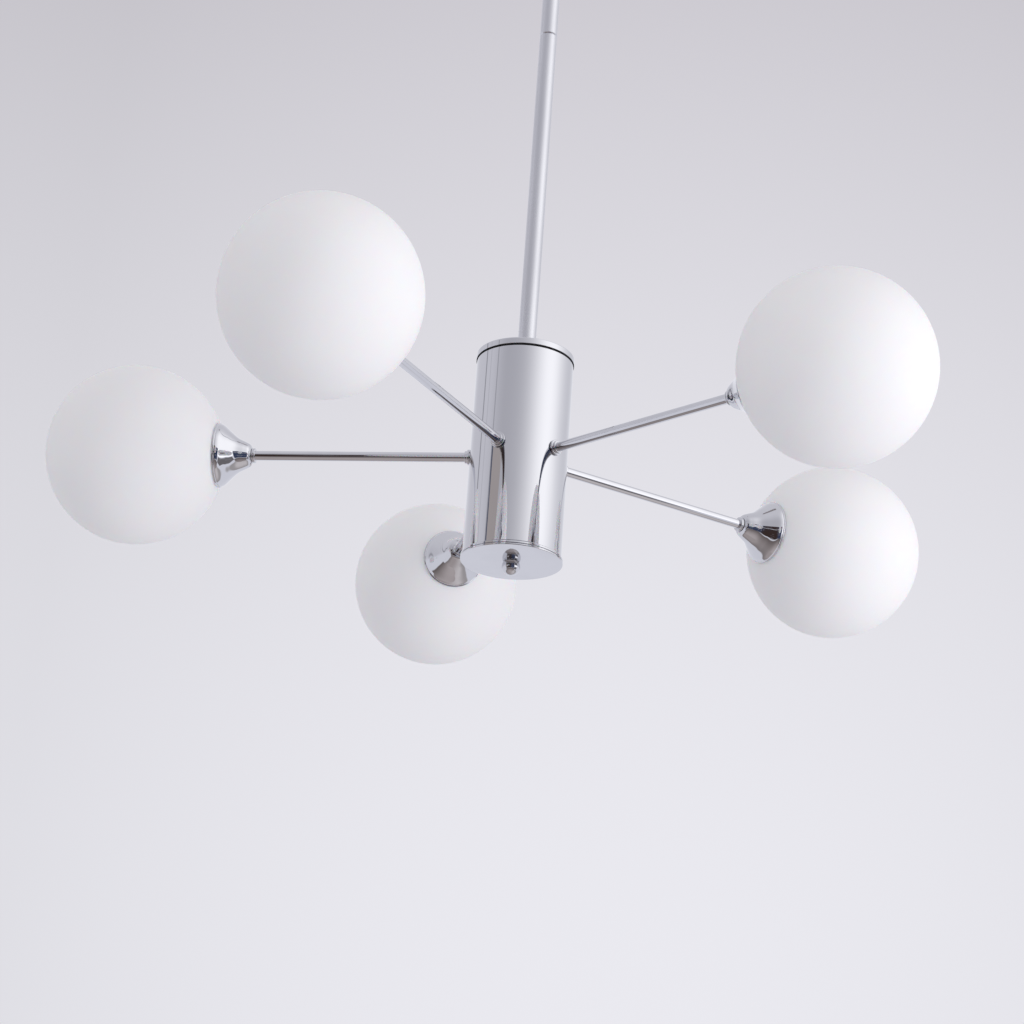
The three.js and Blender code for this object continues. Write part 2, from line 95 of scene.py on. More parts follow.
def smoothLine(points, steps):
    # Catmull-Rom: between two points a cubic whose slope at each is half the step between its neighbours.
    points = np.array(points, float)
    ghost = np.vstack([2 * points[0] - points[1], points, 2 * points[-1] - points[-2]])
    a, b, c, d = (ghost[k:len(ghost) - 3 + k, None] for k in range(4))
    t = np.linspace(0, 1, steps, endpoint=False)[None, :, None]
    line = 0.5 * (2 * b + (c - a) * t + (2 * a - 5 * b + 4 * c - d) * t ** 2
                  + (3 * b - a - 3 * c + d) * t ** 3)
    return np.vstack([line.reshape(-1, points.shape[1]), points[-1:]])


def inward(line, wall):
    # Each point moved by the wall's thickness across the line's own direction, to its left.
    step = np.gradient(line, axis=0)
    step /= np.linalg.norm(step, axis=1, keepdims=True)
    return line + wall * np.column_stack([-step[:, 1], step[:, 0]])


# Surfaces

def standing(height=0.0, x=0.0, y=0.0):
    return np.eye(3), np.array([x, y, height])


def along(axis, start):
    # Axes whose third column is the given direction, and the point the heights start from.
    axis = np.array(axis, float)
    side = np.cross([0, 0, 1], axis)
    side /= np.linalg.norm(side)
    return np.column_stack([side, np.cross(axis, side), axis]), np.array(start, float)


def braced(profile, reach=0.12):
    # A side four times as long as the next one gets a point near that end, so that the shading stays flat.
    step = np.roll(profile, -1, axis=0) - profile
    length = np.linalg.norm(step[:, :2], axis=1)
    before, after = np.roll(length, 1), np.roll(length, -1)
    line = []
    for k, point in enumerate(profile):
        line.append(point)
        if length[k] > max(4 * before[k], 6 * reach):
            line.append(point + step[k] * reach / length[k])
        if length[k] > max(4 * after[k], 6 * reach):
            line.append(point + step[k] * (1 - reach / length[k]))
    return np.array(line)


def turned(profile, sides, place, thread=None, starts=0.0):
    # Point k of the profile swept round the axis makes ring k: x = r cos a, y = r sin a, z = h.
    # A third column says how much of the thread's ridge the radius takes there.
    profile = braced(np.asarray(profile, float))
    r, h = profile[:, 0], profile[:, 1]
    if np.sum(r * np.roll(h, -1) - np.roll(r, -1) * h) < 0:
        profile = profile[::-1]
        r, h = profile[:, 0], profile[:, 1]
    angle = starts + np.linspace(0, 2 * math.pi, sides, endpoint=False)
    radius = np.repeat(r[:, None], sides, axis=1)
    if thread:
        turns = h[:, None] / thread["pitch"] - angle[None] / (2 * math.pi)
        ridge = (0.5 + 0.5 * np.cos(2 * math.pi * turns)) ** 1.5
        radius = radius + profile[:, 2:3] * thread["height"] * ridge
    height = np.repeat(h[:, None], sides, axis=1)
    points = np.stack([radius * np.cos(angle), radius * np.sin(angle), height], axis=-1)
    corner = np.arange(r.size * sides).reshape(r.size, sides)
    pole = r < 1e-9
    corner[pole] = corner[pole][:, :1]
    above = np.roll(corner, -1, axis=0)
    quads = np.stack([corner, np.roll(corner, -1, 1), np.roll(above, -1, 1), above], axis=-1)
    if pole.any():
        quads = quads[:-1]
    axes, origin = place
    return points.reshape(-1, 3) @ axes.T + origin, quads.reshape(-1, 4)


def closedGrid(points):
    # A grid of points that closes on itself both ways, such as a plate's rim round a hole.
    rows, columns = points.shape[:2]
    corner = np.arange(rows * columns).reshape(rows, columns)
    ahead = np.roll(corner, -1, axis=0)
    quads = np.stack([corner, np.roll(corner, -1, 1), np.roll(ahead, -1, 1), ahead], axis=-1)
    return points.reshape(-1, 3), quads.reshape(-1, 4)


def makePiece(name, *shells, sharp=35):
    # The shells become one mesh in metres; a quad with a doubled corner becomes a triangle.
    points, quads, count = [], [], 0
    for p, q in shells:
        points.append(p * mm)
        quads.append(q + count)
        count += len(p)
    points, quads = np.concatenate(points), np.concatenate(quads)
    low, high = quads[:, 0] == quads[:, 1], quads[:, 2] == quads[:, 3]
    used = np.unique(quads)
    renumber = np.zeros(count, int)
    renumber[used] = np.arange(used.size)
    quads = renumber[quads]
    faces = quads[~low & ~high].tolist() + quads[low][:, [0, 2, 3]].tolist() + quads[high][:, :3].tolist()
    mesh = bpy.data.meshes.new(name)
    mesh.from_pydata(points[used].tolist(), [], faces)
    mesh.shade_smooth()
    mesh.set_sharp_from_angle(angle=math.radians(sharp))
    piece = bpy.data.objects.new(name, mesh)
    bpy.context.scene.collection.objects.link(piece)
    return piece


def settle(piece, sharp=35):
    # The modifiers' result becomes the piece's own mesh.
    bpy.context.view_layer.update()
    evaluated = piece.evaluated_get(bpy.context.evaluated_depsgraph_get())
    mesh = bpy.data.meshes.new_from_object(evaluated)
    piece.modifiers.clear()
    piece.data = mesh
    mesh.shade_smooth()
    mesh.set_sharp_from_angle(angle=math.radians(sharp))
    return piece


def drilled(piece, *shells, sharp=35):
    # Cuts the volume of each shell out of the piece.
    for number, shell in enumerate(shells):
        tool = makePiece("tool", shell)
        modifier = piece.modifiers.new(f"hole{number}", "BOOLEAN")
        modifier.operation, modifier.solver, modifier.object = "DIFFERENCE", "EXACT", tool
    settle(piece, sharp)
    for tool in [o for o in bpy.data.objects if o.name.startswith("tool")]:
        bpy.data.objects.remove(tool)
    return piece


def peg(radius, low, high, place, sides=32, starts=0.0):
    return turned([(0, low), (radius, low), (radius, high), (0, high)], sides, place, starts=starts)


def refined(node, name, edge):
    # A finer copy of a CAD solid: its corners merged, flat faces joined and edges broken.
    mesh = frame["nodes"][node].data.copy()
    work = bmesh.new()
    work.from_mesh(mesh)
    bmesh.ops.remove_doubles(work, verts=work.verts, dist=1e-6)
    bmesh.ops.dissolve_limit(work, angle_limit=math.radians(1), verts=work.verts, edges=work.edges)
    work.to_mesh(mesh)
    work.free()
    mesh.materials.clear()
    mesh.name = name
    piece = bpy.data.objects.new(name, mesh)
    bpy.context.scene.collection.objects.link(piece)
    bevel = piece.modifiers.new("edges", "BEVEL")
    bevel.width, bevel.segments, bevel.limit_method = edge * mm, 2, "ANGLE"
    bevel.angle_limit = math.radians(38)
    return settle(piece, 30)


def dress(piece, body, slot, *nodes):
    # The piece rides on a body, takes its slot's finish and stands for its CAD nodes.
    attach(piece, body)
    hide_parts(*nodes)
    piece.data.materials.clear()
    piece.data.materials.append(finishes[slot])


# Shader maths: an output that takes operators, and a bench that makes the nodes.

class Flow:
    def __init__(self, bench, socket):
        self.bench, self.socket = bench, socket

    def maths(self, operation, first, second=None, third=None):
        values = {k: v for k, v in enumerate((first, second, third)) if v is not None}
        return self.bench.node("ShaderNodeMath", {"operation": operation}, values)

    def __add__(self, other):
        return self.maths("ADD", self, other)

    def __radd__(self, other):
        return self.maths("ADD", other, self)

    def __sub__(self, other):
        return self.maths("SUBTRACT", self, other)

    def __rsub__(self, other):
        return self.maths("SUBTRACT", other, self)

    def __mul__(self, other):
        return self.maths("MULTIPLY", self, other)

    def __rmul__(self, other):
        return self.maths("MULTIPLY", other, self)

    def __truediv__(self, other):
        return self.maths("DIVIDE", self, other)

    def __rtruediv__(self, other):
        return self.maths("DIVIDE", other, self)

    def __pow__(self, other):
        return self.maths("POWER", self, other)

    def __rpow__(self, other):
        return self.maths("POWER", other, self)

    def __neg__(self):
        return self.maths("MULTIPLY", self, -1)

    def __abs__(self):
        return self.maths("ABSOLUTE", self)

    def clipped(self, low, high):
        return self.bench.node("ShaderNodeClamp", {}, {"Value": self, "Min": low, "Max": high})

    def between(self, low, high, start=0.0, end=1.0):
        # A smooth step from start, where the value is low, to end, where it is high.
        return self.bench.node("ShaderNodeMapRange", {"interpolation_type": "SMOOTHSTEP"},
                               {"Value": self, "From Min": low, "From Max": high,
                                "To Min": start, "To Max": end})


class Bench:
    def __init__(self, tree):
        self.tree = tree
        tree.nodes.clear()

    def node(self, kind, settings=None, inputs=None, output=0):
        made = self.tree.nodes.new(kind)
        for name, value in (settings or {}).items():
            if name == "stops":
                ramp = made.color_ramp
                while len(ramp.elements) < len(value):
                    ramp.elements.new(0.5)
                for element, (position, colour) in zip(ramp.elements, value):
                    element.position, element.color = position, (*colour, 1)
            else:
                setattr(made, name, value)
        for key, value in (inputs or {}).items():
            if isinstance(value, Flow):
                self.tree.links.new(value.socket, made.inputs[key])
            elif isinstance(value, tuple) and made.inputs[key].type == "RGBA":
                made.inputs[key].default_value = (*value[:3], 1)
            else:
                made.inputs[key].default_value = value
        return Flow(self, made.outputs[output]) if made.outputs else None

    def mix(self, amount, first, second):
        return self.node("ShaderNodeMix", {"data_type": "RGBA"}, {0: amount, 6: first, 7: second}, 2)

    def where(self, scale=(1, 1, 1), turn=(0, 0, 0), move=(0, 0, 0)):
        spot = self.node("ShaderNodeTexCoord", output="Object")
        return self.node("ShaderNodeMapping", {}, {"Vector": spot, "Scale": scale, "Rotation": turn,
                                                   "Location": move})

    def noise(self, spot, scale, detail=2.0, roughness=0.5):
        return self.node("ShaderNodeTexNoise", {}, {"Vector": spot, "Scale": scale, "Detail": detail,
                                                    "Roughness": roughness})

    def bump(self, height, depth, strength=1.0):
        # depth is the height's full swing in metres.
        return self.node("ShaderNodeBump", {}, {"Height": height, "Distance": depth, "Strength": strength})


def newMaterial(name, recipe):
    material = bpy.data.materials.new(name)
    material.use_nodes = True
    bench = Bench(material.node_tree)
    surface = bench.node("ShaderNodeBsdfPrincipled", {}, recipe(bench))
    bench.node("ShaderNodeOutputMaterial", {}, {"Surface": surface})
    return material


# Finishes. Patterns are in metres of object space.

chromeLook = {"colour": (0.690, 0.690, 0.716), "dulled": (0.640, 0.640, 0.668), "roughness": 0.03,
              "haze": 0.035, "ripple": 0.0000012}


def chromeRecipe(bench):
    # Bright plating: near-mirror, with faint wiping haze and the slight ripple of buffed metal.
    look = chromeLook
    smear = bench.noise(bench.where((1, 1, 0.25)), 38, 3).between(0.42, 0.72)
    speck = bench.noise(bench.where(), 900, 1).between(0.66, 0.8)
    ripple = bench.noise(bench.where(), 55, 2)
    return {"Base Color": bench.mix(smear * 0.5 + speck * 0.25, look["colour"], look["dulled"]),
            "Metallic": 1.0, "Roughness": look["roughness"] + look["haze"] * smear + 0.02 * speck,
            "Normal": bench.bump(ripple, look["ripple"])}


satinLook = {"colour": (0.70, 0.70, 0.73), "dulled": (0.63, 0.63, 0.66), "roughness": 0.24,
             "grain": 0.0000025}


def satinRecipe(bench):
    # Satin plating: short grain lines drawn along the rod, uneven in gloss.
    look = satinLook
    grain = bench.noise(bench.where((1, 1, 0.02)), 2600, 3, 0.6)
    cloud = bench.noise(bench.where((1, 1, 0.3)), 30, 3).between(0.35, 0.7)
    return {"Base Color": bench.mix(cloud * 0.4 + grain * 0.3, look["colour"], look["dulled"]),
            "Metallic": 1.0, "Roughness": look["roughness"] + 0.05 * cloud + 0.05 * grain,
            "Normal": bench.bump(grain, look["grain"])}


zincLook = {"colour": (0.50, 0.51, 0.50), "warm": (0.55, 0.52, 0.42), "dark": (0.33, 0.34, 0.34)}


def zincRecipe(bench):
    # Zinc plate: a crystalline patchwork, a faint yellow passivation and dull handling marks.
    crystals = bench.node("ShaderNodeTexVoronoi", {"feature": "F1"},
                          {"Vector": bench.where(), "Scale": 700.0, "Randomness": 1.0})
    cloud = bench.noise(bench.where(), 60, 3).between(0.35, 0.7)
    mark = bench.noise(bench.where((1, 1, 3)), 240, 4, 0.7).between(0.55, 0.75)
    tone = bench.mix(cloud * 0.5, zincLook["colour"], zincLook["warm"])
    return {"Base Color": bench.mix(mark * 0.45 + crystals * 0.2, tone, zincLook["dark"]),
            "Metallic": 1.0, "Roughness": 0.34 + 0.12 * crystals + 0.14 * mark,
            "Normal": bench.bump(crystals, 0.000004)}


brassLook = {"colour": (0.78, 0.58, 0.27), "tarnish": (0.42, 0.27, 0.12)}


def brassRecipe(bench):
    # Turned brass: fine tool rings and a little tarnish.
    stain = bench.noise(bench.where(), 180, 4, 0.6).between(0.5, 0.8)
    tool = bench.noise(bench.where(), 1500, 2)
    return {"Base Color": bench.mix(stain * 0.6, brassLook["colour"], brassLook["tarnish"]),
            "Metallic": 1.0, "Roughness": 0.22 + 0.25 * stain + 0.05 * tool,
            "Normal": bench.bump(tool, 0.000003)}


glassLook = {"colour": (0.925, 0.925, 0.93), "thin": (0.895, 0.893, 0.905), "roughness": 0.5}


def opalRecipe(bench):
    # Etched opal glass: milk-white, faintly clouded, with the soft tooth of an acid finish.
    cloud = bench.noise(bench.where(), 14, 3).between(0.3, 0.75)
    tooth = bench.noise(bench.where(), 2400, 2)
    return {"Base Color": bench.mix(cloud * 0.6, glassLook["colour"], glassLook["thin"]),
            "Roughness": glassLook["roughness"] + 0.06 * cloud + 0.03 * tooth,
            "Normal": bench.bump(tooth, 0.0000015), "IOR": 1.45, "Specular IOR Level": 0.35,
            "Subsurface Weight": 0.25, "Subsurface Scale": 0.004}


def bulbRecipe(bench):
    # Frosted capsule: a cool white body with a powdery inner coat.
    powder = bench.noise(bench.where(), 1300, 3, 0.65)
    return {"Base Color": bench.mix(powder, (0.93, 0.92, 0.88), (0.84, 0.84, 0.82)),
            "Roughness": 0.26 + 0.18 * powder, "Normal": bench.bump(powder, 0.000006)}


def ceramicRecipe(bench):
    # Unglazed steatite: off-white, fine pores, a few darker grains.
    pores = bench.noise(bench.where(), 1900, 4, 0.7)
    grain = pores.between(0.62, 0.74)
    cloud = bench.noise(bench.where(), 90, 2)
    tone = bench.mix(cloud, (0.86, 0.84, 0.78), (0.80, 0.77, 0.70))
    return {"Base Color": bench.mix(grain * 0.35, tone, (0.52, 0.49, 0.43)),
            "Roughness": 0.42 + 0.3 * pores, "Normal": bench.bump(pores, 0.000025)}


def rubberRecipe(bench):
    # Cut rubber sheet: almost black, with a dusty bloom.
    bloom = bench.noise(bench.where(), 420, 4, 0.6)
    tone = bench.mix(bloom.between(0.45, 0.8) * 0.3, (0.004, 0.004, 0.005), (0.03, 0.03, 0.03))
    return {"Base Color": tone, "Roughness": 0.6 + 0.25 * bloom, "Normal": bench.bump(bloom, 0.00002),
            "Specular IOR Level": 0.2}


def siliconeRecipe(bench):
    # Clear-white silicone: waxy, slightly clouded.
    cloud = bench.noise(bench.where(), 260, 3)
    return {"Base Color": bench.mix(cloud, (0.80, 0.81, 0.80), (0.68, 0.70, 0.70)),
            "Roughness": 0.36 + 0.16 * cloud, "Normal": bench.bump(cloud, 0.00001),
            "Subsurface Weight": 0.3, "Subsurface Scale": 0.002}


def plasticRecipe(bench):
    # Moulded nylon: fine spark-eroded grain with a mild sheen.
    grain = bench.noise(bench.where(), 1700, 3, 0.6)
    cloud = bench.noise(bench.where(), 70, 2)
    return {"Base Color": bench.mix(cloud, (0.83, 0.83, 0.81), (0.76, 0.76, 0.73)),
            "Roughness": 0.4 + 0.2 * grain, "Normal": bench.bump(grain, 0.00001)}


def sleeveRecipe(bench):
    # Braided glass sleeve: crossing yarns, white, with painted shade greying the valleys between them.
    first = bench.node("ShaderNodeTexWave", {"wave_type": "BANDS", "bands_direction": "DIAGONAL"},
                       {"Vector": bench.where(), "Scale": 420.0, "Distortion": 0.6}, output=1)
    second = bench.node("ShaderNodeTexWave", {"wave_type": "BANDS", "bands_direction": "DIAGONAL"},
                        {"Vector": bench.where((-1, 1, 1)), "Scale": 420.0, "Distortion": 0.6}, output=1)
    yarn = first.maths("MAXIMUM", first, second)
    # Grey where the yarn mask is low: painted shade in the valleys of the weave.
    return {"Base Color": bench.mix(yarn, (0.52, 0.52, 0.50), (0.86, 0.86, 0.83)),
            "Roughness": 0.75 - 0.2 * yarn, "Normal": bench.bump(yarn, 0.00012)}


finishes = {slot: newMaterial(name, recipe) for slot, name, recipe in (
    ("chrome", "brightChrome", chromeRecipe), ("satin_chrome", "satinChrome", satinRecipe),
    ("zinc_steel", "zincSteel", zincRecipe), ("brass", "turnedBrass", brassRecipe),
    ("opal_glass", "opalGlass", opalRecipe), ("frosted_bulb", "frostedBulb", bulbRecipe),
    ("ceramic", "steatite", ceramicRecipe), ("black_rubber", "blackRubber", rubberRecipe),
    ("silicone", "clearSilicone", siliconeRecipe), ("white_plastic", "whiteNylon", plasticRecipe),
    ("wire_sleeve", "braidedSleeve", sleeveRecipe))}
print("finishes:", len(finishes))


# Globes: one wall of glass, centred on height 0, with a threaded neck towards the hub.
globe = {"radius": 75.0, "wall": 3.0, "neck": 17.0, "neckWall": 2.7, "neckEnd": -81.0, "sides": 128,
         "thread": {"pitch": 3.0, "height": 0.42}}
reach = 282.3  # hub wall to globe centre, along an arm


def globeShell(place):
    # Outer sphere, a fillet down to the neck, the threaded neck, and the inner sphere back up.
    ball, inside = globe["radius"], globe["radius"] - globe["wall"]
    neck, bore = globe["neck"], globe["neck"] - globe["neckWall"]
    outer = arc(0, 0, ball, 90, -74.2, 82)
    fillet = bend(outer[-1], (neck + 0.9, -73.6), (neck, -75.0))[1:]
    heights = np.linspace(-75.2, -80.2, 41)
    ridge = np.clip(np.minimum(heights[0] - heights, heights - heights[-1]) / 0.6, 0, 1)
    neckLine = np.column_stack([np.full(heights.size, neck), heights, ridge])
    end = np.array([(neck, -80.4), (neck - 0.5, globe["neckEnd"]), (bore + 0.4, globe["neckEnd"]),
                    (bore, globe["neckEnd"] + 0.4)])
    inner = arc(0, 0, inside, -77.2, 90, 60)
    throat = bend((bore, -73.5), (bore, -70.8), inner[0])[:-1]
    plain = [np.column_stack([line, np.zeros(len(line))]) for line in (outer, fillet, end, throat, inner)]
    plain[0][0, 0] = plain[-1][-1, 0] = 0
    profile = np.vstack([plain[0], plain[1], neckLine, *plain[2:]])
    return turned(profile, globe["sides"], place, globe["thread"])


# Cups: a spun bell from the arm's stop ring to a turned lip at the glass, threaded inside.
cup = {"rim": 27.0, "rimAt": 70.27, "length": 28.8, "wall": 0.9, "sides": 112,
       "line": [(2.6, 26.3), (5.6, 24.6), (11, 19.6), (17, 14.6), (23.5, 11.4), (27.2, 9.3), (28.8, 6.6)],
       "hole": 4.3, "bore": 17.7, "thread": {"pitch": 3.0, "height": -0.34}}


def cupShell(place):
    # Heights run from the globe centre towards the hub, so the lip is at minus rimAt.
    rim, lip = cup["rim"], -cup["rimAt"]
    flare = smoothLine(cup["line"], 9)
    outer = np.column_stack([flare[:, 1], lip - flare[:, 0]])
    inner = inward(outer, -cup["wall"])[::-1]
    hole, end = cup["hole"], lip - cup["length"]
    lipLine = np.vstack([bend((rim - 0.75, lip), (rim, lip), (rim, lip - 0.7), 5),
                         bend((rim, lip - 1.3), (rim, lip - 1.95), (rim - 0.6, lip - 2.0), 5),
                         [(rim - 0.85, lip - 2.15)]])
    flange = lip - 4.9
    innerKept = inner[inner[:, 1] < flange - 0.6]
    innerKept = innerKept[innerKept[:, 1] > end + cup["wall"] + 0.3]
    heights = np.linspace(lip - 9.4, lip - 4.1, 43)
    ridge = np.clip(np.minimum(heights - heights[0], heights[-1] - heights) / 0.6, 0, 1)
    threadLine = np.column_stack([np.full(heights.size, cup["bore"]), heights, ridge])
    body = np.vstack([lipLine, outer[1:], [(hole, end), (hole, end + cup["wall"])],
                      [(6.0, end + cup["wall"])], innerKept,
                      [(24.2, flange), (cup["bore"] + 1.5, flange), (cup["bore"] + 1.5, lip - 9.6),
                       (cup["bore"] + 0.2, lip - 9.6)]])
    front = np.array([(cup["bore"] + 0.2, lip - 3.9), (24.8, lip - 3.9), (rim - 1.5, lip - 0.2)])
    flat = [np.column_stack([line, np.zeros(len(line))]) for line in (body, front)]
    return turned(np.vstack([flat[0], threadLine, flat[1]]), cup["sides"], place, cup["thread"])


# Arms: a tube with a stepped collar at the hub and a stop ring where the cup seats.
arm = {"radius": 4.0, "bore": 3.0, "foot": 6.5, "step": 5.3, "stop": 6.2, "inner": -7.5, "sides": 48}
armOuterEnd = reach - cup["rimAt"] - cup["length"] + 7.5


def armShell(place):
    # Heights run outwards from the hub wall.
    r, foot, step, stop = arm["radius"], arm["foot"], arm["step"], arm["stop"]
    seat = reach - cup["rimAt"] - cup["length"] - 0.3
    corners = [
        (arm["bore"], arm["inner"], 0.2), (r, arm["inner"], 0.4), (r, 0.3, 0),
        (foot, 0.3, 0.25), (foot, 2.1, 0.55), (step, 2.1, 0.2), (step, 4.3, 0.6), (r, 4.3, 0.15),
        (r, seat - 2.6, 0.1), (stop, seat - 2.6, 0.55), (stop, seat - 1.55, 0.12),
        (stop - 0.45, seat - 1.4, 0.1), (stop - 0.45, seat - 1.2, 0.1), (stop, seat - 1.05, 0.12),
        (stop, seat, 0.4), (r, seat, 0), (r, armOuterEnd, 0.4), (arm["bore"], armOuterEnd, 0.2)]
    return turned(rounded(corners, 4), arm["sides"], place)


armFrames = []
for i in range(1, 6):
    turnJoint = joints[f"globe_{i}_turn"]
    centre = np.array(turnJoint["pos_m"]) / mm
    axis = np.array(turnJoint["axis"])
    axis /= np.linalg.norm(axis)
    fromGlobe, fromHub = along(axis, centre), along(axis, centre - reach * axis)
    armFrames.append(fromHub)
    dress(makePiece(f"globeGlass{i}", globeShell(fromGlobe)), f"globe_{i}", "opal_glass", f"globe_{i}")
    dress(makePiece(f"cupBell{i}", cupShell(fromGlobe)), "stem", "chrome", f"cup_{i}")
    dress(makePiece(f"armStem{i}", armShell(fromHub)), "stem", "chrome", f"arm_tube_{i}")
print("arms, cups and globes made")


# Hub: heights from the plane of the globe centres.
hub = {"height": -786.6, "radius": 40.25, "wall": 1.25, "top": 86.7, "bottom": -84.3, "gasket": 1.5,
       "capRadius": 40.8, "capTop": 93.6, "plateRadius": 41.6, "plateBottom": -88.5, "sides": 180,
       "plate": 2.4, "spigotGap": 0.3, "spigotWall": 1.2, "nippleHole": 5.15, "studHole": 3.3,
       "armHole": 4.3, "nutCentre": -92.3}
hubNut = {"radius": 7.5, "seat": 3.75, "hole": 3.15, "depth": 8.0, "sides": 80}
hubPlace = standing(hub["height"])


def hubBody():
    inner = hub["radius"] - hub["wall"]
    tube = rounded([(inner, hub["bottom"], 0.2), (hub["radius"], hub["bottom"], 0.25),
                    (hub["radius"], hub["top"], 0.25), (inner, hub["top"], 0.2)], 3)
    piece = makePiece("hubBody", turned(tube, hub["sides"], hubPlace))
    return drilled(piece, *(peg(hub["armHole"], -5, 5, place) for place in armFrames))


def topCap():
    under, inside, low = hub["top"] + hub["gasket"], hub["capTop"] - hub["plate"], hub["top"] - 6
    spigot = hub["radius"] - hub["wall"] - hub["spigotGap"]
    lining = spigot - hub["spigotWall"]
    corners = [(hub["nippleHole"], hub["capTop"], 0.3), (hub["nippleHole"], inside, 0.2),
               (lining, inside, 0.4), (lining, low, 0.2), (spigot, low, 0.3), (spigot, under, 0),
               (hub["capRadius"], under, 0.25), (hub["capRadius"], hub["capTop"], 1.1)]
    return turned(rounded(corners), hub["sides"], hubPlace)


# A black ring between the tube and the cap: rubber, and its black also stands in as painted shade for the
# dark seam there.
def seamShadeRing():
    low, high = hub["top"], hub["top"] + hub["gasket"]
    inner, outer = hub["radius"] - hub["wall"], hub["capRadius"] - 0.1
    return turned(rounded([(inner, low, 0.1), (outer, low, 0.3), (outer, high, 0.2), (inner, high, 0.1)], 3),
                  hub["sides"], hubPlace)


def bottomPlate():
    # A band with a fine turned groove, then the flat face.
    edge, low, inside = hub["plateRadius"], hub["plateBottom"], hub["plateBottom"] + hub["plate"]
    bandTop, top = hub["bottom"] - 0.55, hub["bottom"] + 4
    spigot = hub["radius"] - hub["wall"] - hub["spigotGap"]
    lining, groove = spigot - hub["spigotWall"], edge - 0.9
    corners = [(hub["studHole"], low, 0.2), (edge, low, 0.45), (edge, low + 1.3, 0.12),
               (groove, low + 1.5, 0.08), (groove, low + 1.8, 0.08), (edge, low + 2.0, 0.12),
               (edge, bandTop, 0.35), (spigot, bandTop, 0.1), (spigot, top, 0.3), (lining, top, 0.2),
               (lining, inside, 0.4), (hub["studHole"], inside, 0.2)]
    return turned(rounded(corners), hub["sides"], hubPlace)


def ballNut(nut, place):
    # A ball cut flat where it seats, with a blind hole from its flat side.
    radius, seat, hole, depth = (nut[key] for key in ("radius", "seat", "hole", "depth"))
    flat = math.sqrt(radius ** 2 - seat ** 2)
    start = math.degrees(math.atan2(seat, flat))
    line = np.vstack([[(0, seat - depth), (hole, seat - depth + 0.8), (hole, seat - 0.3), (hole + 0.3, seat),
                       (flat - 0.25, seat)], arc(0, 0, radius, start - 1, -90, 40)])
    line[-1, 0] = 0
    return turned(line, nut["sides"], place)


dress(hubBody(), "stem", "chrome", "body_tube")
dress(makePiece("hubTopCap", topCap()), "stem", "chrome", "top_cap")
# The black ring also stands in as painted shade for the seam under the cap.
dress(makePiece("hubGasket", seamShadeRing()), "stem", "black_rubber", "top_gasket")
dress(makePiece("hubBottomPlate", bottomPlate()), "bottom_cap", "chrome", "bottom_cap")
dress(makePiece("hubBallNut", ballNut(hubNut, standing(hub["height"] + hub["nutCentre"]))),
      "ball_nut", "chrome", "ball_nut")
print("hub made")


# Stem: two satin rods end to end with chamfered ends.
stem = {"radius": 7.5, "bore": 5.15, "top": -73.0, "length": 310.0, "chamfer": 0.85, "sides": 72}


def rodShell(top):
    low, chamfer, radius, bore = top - stem["length"], stem["chamfer"], stem["radius"], stem["bore"]
    corners = [(bore, low, 0.2), (radius - chamfer, low, 0.1), (radius, low + chamfer, 0.2),
               (radius, top - chamfer, 0.2), (radius - chamfer, top, 0.1), (bore, top, 0.2)]
    return turned(rounded(corners, 3), stem["sides"], standing())


seam = stem["top"] - stem["length"]
for node, name, top in (("rod_upper", "rodUpper", stem["top"]), ("rod_lower", "rodLower", seam)):
    dress(makePiece(name, rodShell(top)), "stem", "satin_chrome", node)


# Swivel: a fork that turns on the canopy's nipple, and a tongue that tilts between its ears.
swivel = {"pivot": -57.0, "ear": 9.0, "tongue": 8.5, "slot": 3.1, "half": 7.5, "tongueHalf": 2.8,
          "hole": 2.6, "pin": 2.4, "head": 4.3, "top": -32.0, "waist": -44.0, "barrel": 10.0, "flange": 10.5,
          "nippleHole": 5.15, "wireHole": 3.3, "shank": 5.0, "collar": 9.0}


def earPlate(reachOut, far, low, high, edge):
    # Round the pivot, the outline's distance at angle a is the nearest of the round end, the straight
    # sides and the flat end; across the plate the rim runs from the hole over broken edges and back.
    corner = math.atan2(abs(far), reachOut)
    quarter = np.linspace(0, corner, 9)[:-1]
    top = np.linspace(corner, math.pi - corner, 9)[:-1]
    rest = np.linspace(math.pi, 2 * math.pi, 41)[:-1]
    angle = np.concatenate([quarter, top, np.linspace(math.pi - corner, math.pi, 9)[:-1], rest])
    sine = np.sin(angle)
    distance = np.where(sine > 1e-9, np.minimum(reachOut / np.maximum(np.abs(np.cos(angle)), 1e-6),
                                                abs(far) / np.maximum(sine, 1e-6)), reachOut)
    t = np.linspace(0, math.pi / 2, 4)
    inset = np.concatenate([edge * (1 - np.sin(t)), edge * (1 - np.cos(t))])
    across = np.concatenate([low + edge * (1 - np.cos(t)), high - edge * (1 - np.sin(t))])
    rim = distance[None] - inset[:, None]
    holes = np.full((2, angle.size), swivel["hole"])
    radius = np.vstack([holes[:1], rim, holes[1:]])
    y = np.concatenate([[low], across, [high]])[:, None].repeat(angle.size, 1)
    flip = math.copysign(1, far)
    points = np.stack([radius * np.cos(angle) * flip, y, radius * np.sin(angle) * flip + swivel["pivot"]], -1)
    return closedGrid(points)


def forkShells():
    top, waist, hole, bore = (swivel[key] for key in ("top", "waist", "nippleHole", "wireHole"))
    barrel, flange, slot, half = (swivel[key] for key in ("barrel", "flange", "slot", "half"))
    body = rounded([(hole, top, 0.3), (flange, top, 0.5), (flange, top - 2, 0.5),
                    (barrel, top - 2.6, 0.3), (barrel, waist, 0.9), (bore, waist, 0.3),
                    (bore, top - 9.8, 0.1), (hole, top - 10.5, 0.1)])
    ears = [earPlate(swivel["ear"], swivel["pivot"] - waist, low, high, 0.6)
            for low, high in ((slot, half), (-half, -slot))]
    return turned(body, 96, standing()), *ears


